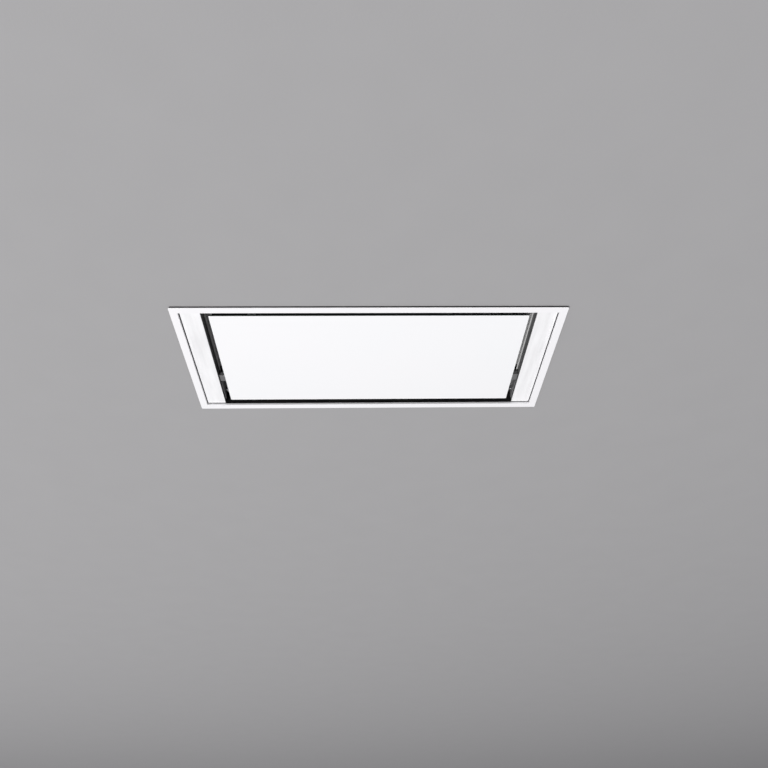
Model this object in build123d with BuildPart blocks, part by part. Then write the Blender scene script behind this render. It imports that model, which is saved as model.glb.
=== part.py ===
from build123d import *
import math
import os

os.makedirs("parts", exist_ok=True)

# A ceiling range hood, millimetres. X runs along its length, -Y is the near side that faces the
# cook, +Z is up. The origin is the middle of the white frame's underside, which lies 8 mm below
# the ceiling; all above that is in the void over the ceiling.

# Overall size and the white trim frame
hood_length = 1200
hood_depth = 560
flange_width = 24
rim_height = 2
lip_height = 7
ceiling_height = 8
frame_sheet = 1.2
frame_corner_radius = 4
frame_edge_radius = 0.8

# Clearances
face_clearance = 0.3
running_clearance = 0.05
screw_clearance = 0.25

# What lies inside the frame: suction slot, light bands and centre panel
recess = 8
slot_width = 22
band_width = 61.5
band_gap = 2.5
glass_thickness = 4
glass_corner_radius = 3
glass_bevel = 0.8

# Lower chassis and the deck that the filters hang from
chassis_sheet = 1.2
deck_height = 70
chassis_flange = 14
deck_screws_per_side = 6
deck_screw_end_gap = 77.5
screw_radius = 2
screw_head_radius = 3.8
screw_head_height = 2.4
screw_length = 8

# Suction box above the deck
box_sheet = 1.2
box_end_inset = 80
box_side_inset = 60
box_top = 290
box_flange = 14
bead_count = 4
bead_width = 30
bead_height = 2.5
lid_bead_margin = 70
wall_bead_margin = 25
bead_spacing = 150
bead_taper = 25

# Hanger rails on top of the suction box
rail_overhang = 40
rail_end_inset = 140
rail_width = 40
rail_height = 20
rail_sheet = 2
hanger_slot_radius = 4.5
hanger_slot_length = 30

# Light boxes
light_box_sheet = 1
diffuser_thickness = 3
led_board_width = 12
led_board_thickness = 1.6
led_board_end_margin = 15
led_pitch = 30
led_size = 5
led_height = 1

# Air guides between the light boxes and the filters
guide_sheet = 1
guide_foot_height = 38
guide_foot_width = 5
guide_bend_height = 57
guide_bend_radius = 3
guide_top_gap = 6
guide_tab = 5
guide_arm_gap = 1.5
guide_near_margin = 1

# Centre panel tray and the arms that it hangs on
tray_inset = 8
tray_sheet = 1
tray_height = 13
tray_bead_margin = 72
tray_bead_width = 40
tray_bead_height = 5
tray_bead_spacing = 200
hinge_setback = 20
hinge_z = 38
arm_length = 118
arm_height = 14
arm_drop = 14
arm_tail = 26
arm_sheet = 2
arm_tray_gap = 3
arm_margin = 2
arm_web_length = 68
block_lead = 2
block_length = 33
block_height = 16
block_edge_radius = 1.5
block_gap = 8
hinge_pin_radius = 3
hinge_pin_head_radius = 5
hinge_pin_head = 1.2
bracket_thickness = 5
bracket_strap_width = 16
bracket_foot_length = 34
bracket_foot_width = 17
bracket_foot_thickness = 3

# Sprung catches that hold the centre panel shut
catch_end_inset = 130
catch_body_width = 22
catch_body_depth = 17
catch_body_height = 16
catch_z = 22.4
plunger_radius = 3
plunger_travel = 3.6
plunger_reach = 12.8
keeper_width = 26
keeper_sheet = 1
keeper_lip = 5
keeper_foot_drop = 8

# Grease filters
filter_count = 3
filter_end_margin = 7
filter_gap = 12
filter_near_inset = 26
filter_far_inset = 137
filter_thickness = 9
filter_rail_width = 12
filter_sheet = 1
filter_corner_radius = 3
deck_opening_inset = 10
filter_top_gap = 0.6
baffle_count = 7
baffle_width = 26
baffle_sheet = 0.8
baffle_leg = 3.6
baffle_bend_radius = 1
tongue_width = 30
tongue_length = 8
tongue_inset = 55
tongue_thickness = 1.2

# Rails under the deck that the filters rest on, and the filter latches
filter_rail_sheet = 1.2
filter_rail_lip = 6
filter_rail_side_gap = 6.8
latch_width = 46
latch_length = 20
latch_thickness = 1.8
latch_travel = 5
latch_overlap = 4.5
latch_tab_height = 5
latch_slot_radius = 2.2
latch_stud_radius = 2
latch_stud_head_radius = 3.6
latch_stud_head = 1
latch_stud_spacing = 30

# Blower: impeller, scroll and motor, on an upright axis
blower_end_inset = 280
blower_y = 25
impeller_radius = 105
impeller_bore_radius = 84
impeller_bottom = 165
impeller_top = 245
impeller_sheet = 1.5
blade_count = 36
blade_sheet = 1
blade_bow = 3.2
blade_lead_angle = 7
dish_radius = 60
dish_floor = 188
hub_radius = 13
hub_height = 12
shaft_radius = 4
scroll_first_radius = 122
scroll_step = 24
scroll_tongue_angle = 60
scroll_tongue_radius = 6
scroll_mouth_reach = 150
scroll_bottom = 155
scroll_height = 100
scroll_sheet = 1.2
scroll_flange = 6
inlet_radius = 80
inlet_bell_radius = 9
inlet_depth = 11
motor_radius = 46
motor_height = 48
motor_flange_radius = 53
motor_flange = 3
motor_fin_count = 8
motor_fin_width = 4
motor_fin_depth = 2
mount_radius = 9
mount_spacing = 140

# Outlet: transition duct, collar and its back-draught flaps
duct_sheet = 1.2
collar_radius = 74.5
collar_sheet = 1.2
collar_reach = 76
collar_flange_width = 8
collar_z = 205
collar_edge_gap = 7
duct_lap = 5
damper_offset = 12
flap_gap = 1.5
flap_sheet = 1
flap_setback = 2
flap_straight_edge = 4
flap_knuckle_length = 12
damper_pin_radius = 2
knuckle_wall = 1.4

# Control box on the left end of the suction box
control_length = 190
control_height = 90
control_depth = 48
control_sheet = 1.2
control_bottom = 100
control_lid_lap = 6
gland_radius = 9
gland_nut_radius = 11
gland_nut_length = 8
gland_length = 20
gland_bore_radius = 4

# Values worked out from the ones above
opening_length = hood_length - 2 * flange_width
opening_depth = hood_depth - 2 * flange_width
skirt_inner_x = opening_length / 2 + frame_sheet + face_clearance
skirt_inner_y = opening_depth / 2 + frame_sheet + face_clearance
skirt_outer_x = skirt_inner_x + chassis_sheet
skirt_outer_y = skirt_inner_y + chassis_sheet
skirt_bottom = frame_sheet + face_clearance
skirt_flange_height = deck_height - chassis_sheet
deck_top = deck_height + chassis_sheet
band_outer_x = opening_length / 2 - band_gap
band_inner_x = band_outer_x - band_width
band_depth = opening_depth - 2 * band_gap
glass_length = 2 * (band_inner_x - slot_width)
glass_depth = opening_depth - 2 * slot_width
glass_top = recess + glass_thickness
tray_length = glass_length - 2 * tray_inset
tray_depth = glass_depth - 2 * tray_inset
hinge_y = glass_depth / 2 - hinge_setback
arm_near_end = hinge_y - arm_length
filter_pitch = (glass_length - 2 * filter_end_margin) / filter_count
filter_length = filter_pitch - filter_gap
filter_near_y = -glass_depth / 2 + filter_near_inset
filter_far_y = glass_depth / 2 - filter_far_inset
filter_depth = filter_far_y - filter_near_y
filter_top = deck_height - filter_top_gap
filter_bottom = filter_top - filter_thickness
filter_centre_y = (filter_near_y + filter_far_y) / 2
filter_bank_half = filter_pitch * (filter_count - 1) / 2 + filter_length / 2
box_length = hood_length - 2 * box_end_inset
box_depth = hood_depth - 2 * box_side_inset
box_half_x = box_length / 2
box_half_y = box_depth / 2
blower_x = box_half_x - blower_end_inset
mouth_x = blower_x + scroll_mouth_reach
scroll_top = scroll_bottom + scroll_height
half_step = scroll_step / 2
scroll_last_radius = scroll_first_radius + 3 * scroll_step
mouth_outer_y = blower_y - half_step - scroll_last_radius
tongue_reach = (scroll_first_radius + scroll_tongue_radius) * math.sin(math.radians(scroll_tongue_angle))
mouth_inner_y = blower_y + half_step - tongue_reach - scroll_tongue_radius
mouth_y = (mouth_inner_y + mouth_outer_y) / 2
collar_y = -(box_half_y - collar_radius - collar_flange_width - collar_edge_gap)


def write(piece, name):
    """Labels a finished piece and writes its file."""
    piece.part.label = name
    export_step(piece.part, f"parts/{name}.step")


# White trim frame: a folded steel ring with a low rim outside and a higher lip inside
with BuildPart() as trim_frame:
    with BuildSketch():
        RectangleRounded(hood_length, hood_depth, frame_corner_radius)
        Rectangle(opening_length, opening_depth, mode=Mode.SUBTRACT)
    extrude(amount=frame_sheet)
    with BuildSketch():
        RectangleRounded(hood_length, hood_depth, frame_corner_radius)
        RectangleRounded(
            hood_length - 2 * frame_sheet,
            hood_depth - 2 * frame_sheet,
            frame_corner_radius - frame_sheet,
            mode=Mode.SUBTRACT,
        )
    extrude(amount=rim_height)
    with BuildSketch():
        Rectangle(opening_length + 2 * frame_sheet, opening_depth + 2 * frame_sheet)
        Rectangle(opening_length, opening_depth, mode=Mode.SUBTRACT)
    extrude(amount=lip_height)
    fillet(trim_frame.faces().sort_by(Axis.Z)[0].edges(), frame_edge_radius)
write(trim_frame, "trim_frame")

# Foam seal in the hollow of the flange, which lifts the frame off the ceiling all round
with BuildPart() as ceiling_seal:
    with BuildSketch(Plane.XY.offset(frame_sheet)):
        Rectangle(
            hood_length - 2 * frame_sheet - 2 * face_clearance,
            hood_depth - 2 * frame_sheet - 2 * face_clearance,
        )
        Rectangle(
            2 * (skirt_outer_x + face_clearance),
            2 * (skirt_outer_y + face_clearance),
            mode=Mode.SUBTRACT,
        )
    extrude(amount=ceiling_height - frame_sheet)
    fillet(ceiling_seal.edges().filter_by(Axis.Z).group_by(SortBy.DISTANCE)[-1], frame_corner_radius)
write(ceiling_seal, "ceiling_seal")

# Lower chassis: four folded walls round the slot, with a flange at the top under the deck
deck_screw_places = GridLocations(
    2 * (skirt_inner_x - deck_screw_end_gap) / (deck_screws_per_side - 1),
    2 * (skirt_inner_y - chassis_flange / 2),
    deck_screws_per_side,
    2,
)
for name, side in (("chassis_front", -1), ("chassis_rear", 1)):
    with BuildPart() as chassis_wall:
        with BuildSketch(Plane.YZ.offset(-skirt_outer_x)):
            with BuildLine():
                FilletPolyline(
                    (side * (skirt_inner_y + chassis_sheet / 2), skirt_bottom),
                    (side * (skirt_inner_y + chassis_sheet / 2), deck_height - chassis_sheet / 2),
                    (side * (skirt_inner_y - chassis_flange), deck_height - chassis_sheet / 2),
                    radius=chassis_sheet,
                )
            trace(line_width=chassis_sheet)
        extrude(amount=2 * skirt_outer_x)
        with BuildSketch(Plane.XY.offset(skirt_flange_height - chassis_sheet)):
            with Locations((0, side * (skirt_inner_y - chassis_flange / 2))):
                with GridLocations(2 * skirt_inner_x + chassis_flange - 2 * face_clearance, 0, 2, 1):
                    Rectangle(chassis_flange, chassis_flange)
        extrude(amount=2 * chassis_sheet, mode=Mode.SUBTRACT)
        with BuildSketch(Plane.XY.offset(deck_height)):
            with deck_screw_places:
                Circle(screw_radius + screw_clearance)
        extrude(amount=-2 * chassis_sheet, mode=Mode.SUBTRACT)
    write(chassis_wall, name)

for name, side in (("chassis_left", -1), ("chassis_right", 1)):
    with BuildPart() as chassis_end:
        with BuildSketch(Plane.XZ.offset(-(skirt_inner_y - face_clearance))):
            with Locations((side * (skirt_inner_x + chassis_sheet / 2), (skirt_bottom + deck_height) / 2)):
                Rectangle(chassis_sheet, deck_height - skirt_bottom)
        extrude(amount=2 * (skirt_inner_y - face_clearance))
        with BuildSketch(Plane.XY.offset(deck_height)):
            with Locations((side * (skirt_inner_x - chassis_flange / 2), 0)):
                Rectangle(chassis_flange, 2 * (skirt_inner_y - chassis_flange - face_clearance))
        extrude(amount=-chassis_sheet)
    write(chassis_end, name)

# Deck: the black plate over the whole lower chassis, with one opening over each filter
with BuildPart() as filter_deck:
    with BuildSketch(Plane.XY.offset(deck_height)):
        Rectangle(2 * skirt_outer_x, 2 * skirt_outer_y)
        with Locations((0, filter_centre_y)):
            with GridLocations(filter_pitch, 0, filter_count, 1):
                RectangleRounded(
                    filter_length - 2 * deck_opening_inset,
                    filter_depth - 2 * deck_opening_inset,
                    filter_corner_radius,
                    mode=Mode.SUBTRACT,
                )
        with deck_screw_places:
            Circle(screw_radius + screw_clearance, mode=Mode.SUBTRACT)
    extrude(amount=chassis_sheet)
write(filter_deck, "filter_deck")

with BuildPart() as deck_screws:
    with BuildSketch(Plane.XY.offset(deck_top)):
        with deck_screw_places:
            Circle(screw_head_radius)
    extrude(amount=screw_head_height)
    chamfer(deck_screws.faces().sort_by(Axis.Z)[-1].edges(), screw_head_height / 3)
    with BuildSketch(Plane.XY.offset(deck_top)):
        with deck_screw_places:
            Circle(screw_radius)
    extrude(amount=-screw_length)
write(deck_screws, "deck_screws")

# Rails under the deck: the filters' tongues rest on the rear one, their latches on the front one
latch_bottom = filter_bottom - face_clearance - latch_thickness
front_lip_top = latch_bottom - face_clearance
rear_lip_top = filter_bottom - face_clearance
for name, side, wall_y, lip_top in (
    ("filter_rail_front", 1, filter_near_y - filter_rail_side_gap, front_lip_top),
    ("filter_rail_rear", -1, filter_far_y + tongue_length + latch_stud_radius, rear_lip_top),
):
    with BuildPart() as filter_rail:
        with BuildSketch(Plane.YZ.offset(-filter_bank_half)):
            with BuildLine():
                FilletPolyline(
                    (wall_y - side * chassis_flange, deck_height - filter_rail_sheet / 2),
                    (wall_y - side * filter_rail_sheet / 2, deck_height - filter_rail_sheet / 2),
                    (wall_y - side * filter_rail_sheet / 2, lip_top - filter_rail_sheet / 2),
                    (wall_y + side * filter_rail_lip, lip_top - filter_rail_sheet / 2),
                    radius=filter_rail_sheet,
                )
            trace(line_width=filter_rail_sheet)
        extrude(amount=2 * filter_bank_half)
    write(filter_rail, name)

# Light boxes in the two end bands: an open pan, the LED board inside it and its opal cover
light_box_bottom = recess + diffuser_thickness
light_box_top = skirt_flange_height
band_centre_x = (band_outer_x + band_inner_x) / 2
band_cover_width = band_outer_x - band_inner_x
for name, side in (("left", -1), ("right", 1)):
    with BuildPart() as light_box:
        with BuildSketch(Plane.XY.offset(light_box_bottom)):
            with Locations((side * band_centre_x, 0)):
                Rectangle(band_cover_width, band_depth)
        extrude(amount=light_box_top - light_box_bottom)
        offset(
            amount=-light_box_sheet,
            openings=light_box.faces().sort_by(Axis.Z)[0],
            kind=Kind.INTERSECTION,
        )
    write(light_box, f"light_box_{name}")

    with BuildPart() as light_diffuser:
        with BuildSketch(Plane.XY.offset(recess)):
            with Locations((side * band_centre_x, 0)):
                Rectangle(band_cover_width, band_depth)
        extrude(amount=diffuser_thickness)
        fillet(light_diffuser.faces().sort_by(Axis.Z)[0].edges(), glass_bevel)
    write(light_diffuser, f"light_diffuser_{name}")

    led_ceiling = light_box_top - light_box_sheet
    led_board_length = band_depth - 2 * led_board_end_margin
    with BuildPart() as led_strip:
        with BuildSketch(Plane.XY.offset(led_ceiling)):
            with Locations((side * band_centre_x, 0)):
                Rectangle(led_board_width, led_board_length)
        extrude(amount=-led_board_thickness)
        with BuildSketch(Plane.XY.offset(led_ceiling - led_board_thickness)):
            with Locations((side * band_centre_x, 0)):
                with GridLocations(0, led_pitch, 1, int(led_board_length / led_pitch)):
                    Rectangle(led_size, led_size)
        extrude(amount=-led_height)
    write(led_strip, f"led_strip_{name}")

# Air guides: bright folded strips over the side slots, from a narrow foot up to the filter bank
guide_wall_x = band_inner_x - guide_sheet / 2
guide_top_x = filter_bank_half + guide_top_gap
guide_near_end = -(skirt_inner_y - chassis_flange - guide_near_margin)
guide_far_end = arm_near_end - guide_arm_gap
for name, side in (("left", -1), ("right", 1)):
    with BuildPart() as air_guide:
        with BuildSketch(Plane.XZ.offset(-guide_far_end)):
            with BuildLine():
                FilletPolyline(
                    (side * (guide_wall_x - guide_foot_width), guide_foot_height),
                    (side * guide_wall_x, guide_foot_height),
                    (side * guide_wall_x, guide_bend_height),
                    (side * guide_top_x, deck_height - guide_sheet / 2),
                    (side * (guide_top_x - guide_tab), deck_height - guide_sheet / 2),
                    radius=guide_bend_radius,
                )
            trace(line_width=guide_sheet)
        extrude(amount=guide_far_end - guide_near_end)
    write(air_guide, f"air_guide_{name}")

# Centre panel: a white glass sheet bonded to a shallow steel tray
with BuildPart() as glass_panel:
    with BuildSketch(Plane.XY.offset(recess)):
        RectangleRounded(glass_length, glass_depth, glass_corner_radius)
    extrude(amount=glass_thickness)
    chamfer(glass_panel.faces().sort_by(Axis.Z)[0].edges(), glass_bevel)
write(glass_panel, "glass_panel")

with BuildPart() as panel_tray:
    with BuildSketch(Plane.XY.offset(glass_top)):
        RectangleRounded(tray_length, tray_depth, glass_corner_radius)
    extrude(amount=tray_height)
    with BuildSketch(Plane.XY.offset(glass_top + tray_sheet)):
        RectangleRounded(
            tray_length - 2 * tray_sheet,
            tray_depth - 2 * tray_sheet,
            glass_corner_radius - tray_sheet,
        )
    extrude(amount=tray_height, mode=Mode.SUBTRACT)
    for height, mode in ((glass_top + tray_sheet, Mode.ADD), (glass_top, Mode.SUBTRACT)):
        with BuildSketch(Plane.XY.offset(height)):
            with GridLocations(0, tray_bead_spacing, 1, 2):
                SlotOverall(tray_length - 2 * tray_bead_margin, tray_bead_width)
        extrude(amount=tray_bead_height, taper=bead_taper, mode=mode)
write(panel_tray, "panel_tray")

# Hinge: an arm in each side slot, screwed to the tray through a block. Its near end is a channel,
# then two side plates go down past the block's level, with a web across their top that stops
# short of the pivot, so that the bracket under the deck can stand between them.
arm_inner_x = tray_length / 2 + arm_tray_gap
arm_outer_x = band_inner_x - arm_margin
arm_width = arm_outer_x - arm_inner_x
arm_centre_x = (arm_inner_x + arm_outer_x) / 2
arm_bottom = hinge_z - arm_height / 2
arm_top = hinge_z + arm_height / 2
arm_low = arm_bottom - arm_drop
arm_step_y = arm_near_end - block_lead + block_length + block_gap
arm_web_end = arm_step_y + arm_web_length
arm_far_y = hinge_y + arm_tail
block_bottom = arm_bottom - block_height
for name, side in (("left", -1), ("right", 1)):
    with BuildPart() as hinge_arm:
        with BuildSketch(Plane.YZ.offset(side * arm_centre_x)):
            with BuildLine():
                Polyline(
                    (arm_near_end, arm_bottom),
                    (arm_step_y, arm_bottom),
                    (arm_step_y, arm_low),
                    (arm_far_y, arm_low),
                    (arm_far_y, arm_low + arm_height / 2),
                    (hinge_y, arm_top),
                    (arm_near_end, arm_top),
                    close=True,
                )
            make_face()
            with Locations((hinge_y, hinge_z)):
                Circle(arm_height / 2)
        extrude(amount=arm_width / 2, both=True)
        for start_y, end_y, low_z, high_z in (
            (arm_near_end, arm_step_y, arm_bottom + arm_sheet, arm_top),
            (arm_step_y, arm_web_end, arm_low, arm_top - arm_sheet),
            (arm_web_end, arm_far_y, arm_low, arm_top),
        ):
            with BuildSketch(Plane.XY.offset(low_z)):
                with Locations((side * arm_centre_x, (start_y + end_y) / 2)):
                    Rectangle(arm_width - 2 * arm_sheet, end_y - start_y)
            extrude(amount=high_z - low_z, mode=Mode.SUBTRACT)
        with BuildSketch(Plane.YZ.offset(side * arm_centre_x)):
            with Locations((hinge_y, hinge_z)):
                Circle(hinge_pin_radius + running_clearance)
        extrude(amount=arm_width, both=True, mode=Mode.SUBTRACT)
    write(hinge_arm, f"hinge_arm_{name}")

    with BuildPart() as hinge_bracket:
        with BuildSketch(Plane.YZ.offset(side * arm_centre_x)):
            with Locations((hinge_y, (hinge_z + deck_height) / 2)):
                Rectangle(bracket_strap_width, deck_height - hinge_z)
            with Locations((hinge_y, hinge_z)):
                Circle(bracket_strap_width / 2)
                Circle(hinge_pin_radius + running_clearance, mode=Mode.SUBTRACT)
        extrude(amount=bracket_thickness / 2, both=True)
        with BuildSketch(Plane.XY.offset(deck_height)):
            with Locations((side * arm_centre_x, hinge_y)):
                RectangleRounded(bracket_foot_width, bracket_foot_length, glass_corner_radius)
        extrude(amount=-bracket_foot_thickness)
    write(hinge_bracket, f"hinge_bracket_{name}")

with BuildPart() as hinge_pins:
    for side in (-1, 1):
        with BuildSketch(Plane.YZ.offset(side * (arm_inner_x - face_clearance))):
            with Locations((hinge_y, hinge_z)):
                Circle(hinge_pin_radius)
        extrude(amount=side * (arm_width + 2 * face_clearance))
        with BuildSketch(Plane.YZ.offset(side * (arm_inner_x - face_clearance))):
            with Locations((hinge_y, hinge_z)):
                Circle(hinge_pin_head_radius)
        extrude(amount=-side * hinge_pin_head)
write(hinge_pins, "hinge_pins")

block_y = arm_near_end - block_lead + block_length / 2
with BuildPart() as arm_blocks:
    for side in (-1, 1):
        with BuildSketch(Plane.XY.offset(block_bottom)):
            with Locations((side * (tray_length / 2 + arm_outer_x) / 2, block_y)):
                Rectangle(arm_outer_x - tray_length / 2, block_length)
        extrude(amount=block_height)
    fillet(arm_blocks.faces().group_by(Axis.Z)[0].edges(), block_edge_radius)
write(arm_blocks, "arm_blocks")

# Catches: a sprung plunger in a body on the front chassis wall, under a keeper on the tray
tray_near_y = -tray_depth / 2
catch_spacing = glass_length - 2 * catch_end_inset
plunger_back_y = -skirt_inner_y + chassis_sheet + plunger_travel + face_clearance
catch_front_y = -skirt_inner_y + catch_body_depth
plunger_tip_y = catch_front_y + plunger_reach
keeper_lip_bottom = catch_z + plunger_radius + face_clearance
with BuildPart() as catch_bodies:
    with BuildSketch(Plane.XZ.offset(skirt_inner_y)):
        with Locations((0, catch_z)):
            with GridLocations(catch_spacing, 0, 2, 1):
                RectangleRounded(catch_body_width, catch_body_height, block_edge_radius)
    extrude(amount=-catch_body_depth)
    with BuildSketch(Plane.XZ.offset(-catch_front_y)):
        with Locations((0, catch_z)):
            with GridLocations(catch_spacing, 0, 2, 1):
                Circle(plunger_radius + running_clearance)
    extrude(amount=catch_body_depth - chassis_sheet, mode=Mode.SUBTRACT)
write(catch_bodies, "catch_bodies")

for name, side in (("left", -1), ("right", 1)):
    with BuildPart() as catch_plunger:
        with BuildSketch(Plane.XZ.offset(-plunger_back_y)):
            with Locations((side * catch_spacing / 2, catch_z)):
                Circle(plunger_radius)
        extrude(amount=-(plunger_tip_y - plunger_back_y))
        fillet(catch_plunger.faces().sort_by(Axis.Y)[-1].edges(), plunger_radius * 0.8)
    write(catch_plunger, f"catch_plunger_{name}")

with BuildPart() as catch_keepers:
    with BuildSketch(Plane.XZ.offset(-tray_near_y)):
        with Locations((0, keeper_lip_bottom + keeper_sheet - keeper_foot_drop / 2)):
            with GridLocations(catch_spacing, 0, 2, 1):
                Rectangle(keeper_width, keeper_foot_drop)
    extrude(amount=keeper_sheet)
    with BuildSketch(Plane.XY.offset(keeper_lip_bottom)):
        with Locations((0, tray_near_y - keeper_lip / 2)):
            with GridLocations(catch_spacing, 0, 2, 1):
                Rectangle(keeper_width, keeper_lip)
    extrude(amount=keeper_sheet)
write(catch_keepers, "catch_keepers")

# Grease filters: a folded channel frame, two rows of interleaved baffles and a sliding latch
baffle_pitch = (filter_length - 2 * filter_rail_width) / baffle_count
baffle_length = filter_depth - 2 * filter_sheet - 2 * face_clearance
lower_web_z = filter_bottom + filter_sheet + baffle_sheet / 2
upper_web_z = filter_top - filter_sheet - baffle_sheet / 2
latch_near_y = filter_near_y - latch_overlap
latch_stud_y = latch_near_y + latch_length / 2
with BuildSketch() as baffle_section:
    with BuildLine():
        FilletPolyline(
            (-baffle_width / 2, baffle_leg),
            (-baffle_width / 2, 0),
            (baffle_width / 2, 0),
            (baffle_width / 2, baffle_leg),
            radius=baffle_bend_radius,
        )
    trace(line_width=baffle_sheet)

for name, place in (("left", -1), ("centre", 0), ("right", 1)):
    filter_x = place * filter_pitch
    with BuildPart() as filter_frame:
        with BuildSketch(Plane.XY.offset(filter_bottom)):
            with Locations((filter_x, filter_centre_y)):
                RectangleRounded(filter_length, filter_depth, filter_corner_radius)
                Rectangle(
                    filter_length - 2 * filter_rail_width,
                    filter_depth - 2 * filter_rail_width,
                    mode=Mode.SUBTRACT,
                )
        extrude(amount=filter_thickness)
        with BuildSketch(Plane.XY.offset(filter_bottom + filter_sheet)):
            with Locations((filter_x, filter_centre_y)):
                Rectangle(filter_length - 2 * filter_sheet, filter_depth - 2 * filter_sheet)
        extrude(amount=filter_thickness - 2 * filter_sheet, mode=Mode.SUBTRACT)
        with BuildSketch(Plane.XY.offset(filter_bottom)):
            with Locations((filter_x, filter_far_y + tongue_length / 2)):
                with GridLocations(filter_length - 2 * tongue_inset, 0, 2, 1):
                    Rectangle(tongue_width, tongue_length)
        extrude(amount=tongue_thickness)
        with BuildSketch(Plane.XY.offset(filter_bottom)):
            with Locations((filter_x, latch_stud_y)):
                with GridLocations(latch_stud_spacing, 0, 2, 1):
                    Circle(latch_stud_radius)
        extrude(amount=-(latch_thickness + 2 * face_clearance))
        with BuildSketch(Plane.XY.offset(latch_bottom - face_clearance)):
            with Locations((filter_x, latch_stud_y)):
                with GridLocations(latch_stud_spacing, 0, 2, 1):
                    Circle(latch_stud_head_radius)
        extrude(amount=-latch_stud_head)
    write(filter_frame, f"filter_frame_{name}")

    with BuildPart() as filter_baffles:
        with BuildSketch(Plane.XZ.offset(-(filter_centre_y + baffle_length / 2))):
            with Locations((filter_x, lower_web_z)):
                with GridLocations(baffle_pitch, 0, baffle_count, 1):
                    add(baffle_section.sketch)
            with Locations((filter_x, upper_web_z)):
                with GridLocations(baffle_pitch, 0, baffle_count - 1, 1):
                    add(baffle_section.sketch, rotation=180)
        extrude(amount=baffle_length)
    write(filter_baffles, f"filter_baffles_{name}")

    with BuildPart() as filter_latch:
        with BuildSketch(Plane.XY.offset(latch_bottom)):
            with Locations((filter_x, latch_stud_y)):
                RectangleRounded(latch_width, latch_length, latch_slot_radius)
        extrude(amount=latch_thickness)
        with BuildSketch(Plane.XY.offset(latch_bottom)):
            with Locations((filter_x, latch_stud_y - latch_travel / 2)):
                with GridLocations(latch_stud_spacing, 0, 2, 1):
                    SlotOverall(latch_travel + 2 * latch_slot_radius, 2 * latch_slot_radius, rotation=90)
        extrude(amount=latch_thickness, mode=Mode.SUBTRACT)
        with BuildSketch(Plane.XY.offset(latch_bottom)):
            with Locations((filter_x, latch_near_y + latch_length - latch_thickness / 2)):
                Rectangle(latch_width - 2 * latch_slot_radius, latch_thickness)
        extrude(amount=-latch_tab_height)
    write(filter_latch, f"filter_latch_{name}")

# Suction box: front and rear walls with flanges top and bottom, two ends between them, and a lid
box_bottom = deck_top
for name, side in (("suction_box_front", -1), ("suction_box_rear", 1)):
    with BuildPart() as box_wall:
        with BuildSketch(Plane.YZ.offset(-box_half_x)):
            with BuildLine():
                FilletPolyline(
                    (side * (box_half_y + box_flange), box_bottom + box_sheet / 2),
                    (side * (box_half_y - box_sheet / 2), box_bottom + box_sheet / 2),
                    (side * (box_half_y - box_sheet / 2), box_top - box_sheet / 2),
                    (side * (box_half_y - box_flange), box_top - box_sheet / 2),
                    radius=box_sheet,
                )
            trace(line_width=box_sheet)
        extrude(amount=box_length)
        with BuildSketch(Plane.XY.offset(box_top - 2 * box_sheet)):
            with Locations((0, side * (box_half_y - box_sheet - box_flange / 2))):
                with GridLocations(box_length, 0, 2, 1):
                    Rectangle(2 * box_sheet + 2 * face_clearance, box_flange)
        extrude(amount=2 * box_sheet, mode=Mode.SUBTRACT)
        for depth, mode in ((0, Mode.ADD), (box_sheet, Mode.SUBTRACT)):
            bead_plane = Plane(
                origin=(0, side * (box_half_y - depth), (box_bottom + box_top) / 2),
                x_dir=(1, 0, 0),
                z_dir=(0, side, 0),
            )
            with BuildSketch(bead_plane):
                with GridLocations(bead_spacing, 0, bead_count, 1):
                    SlotOverall(box_top - box_bottom - 2 * wall_bead_margin, bead_width, rotation=90)
            extrude(amount=bead_height, taper=bead_taper, mode=mode)
    write(box_wall, name)

end_half_y = box_half_y - box_sheet - face_clearance
for name, side in (("left", -1), ("right", 1)):
    with BuildPart() as box_end:
        with BuildSketch(Plane.XZ.offset(-end_half_y)):
            with BuildLine():
                FilletPolyline(
                    (side * (box_half_x + box_flange), box_bottom + box_sheet / 2),
                    (side * (box_half_x - box_sheet / 2), box_bottom + box_sheet / 2),
                    (side * (box_half_x - box_sheet / 2), box_top),
                    radius=box_sheet,
                )
            trace(line_width=box_sheet)
        extrude(amount=2 * end_half_y)
        with BuildSketch(Plane.XY.offset(box_top)):
            with Locations((side * (box_half_x - box_flange / 2), 0)):
                Rectangle(box_flange, 2 * (box_half_y - box_flange - face_clearance))
        extrude(amount=-box_sheet)
        if side > 0:
            with BuildSketch(Plane.YZ.offset(box_half_x)):
                with Locations((collar_y, collar_z)):
                    Circle(collar_radius - collar_sheet)
            extrude(amount=-box_flange, mode=Mode.SUBTRACT)
    write(box_end, f"suction_box_{name}")

with BuildPart() as box_lid:
    with BuildSketch(Plane.XY.offset(box_top)):
        Rectangle(box_length, box_depth)
    extrude(amount=box_sheet)
    for height, mode in ((box_top + box_sheet, Mode.ADD), (box_top, Mode.SUBTRACT)):
        with BuildSketch(Plane.XY.offset(height)):
            with GridLocations(bead_spacing, 0, bead_count, 1):
                SlotOverall(box_depth - 2 * lid_bead_margin, bead_width, rotation=90)
        extrude(amount=bead_height, taper=bead_taper, mode=mode)
write(box_lid, "suction_box_lid")

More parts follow.
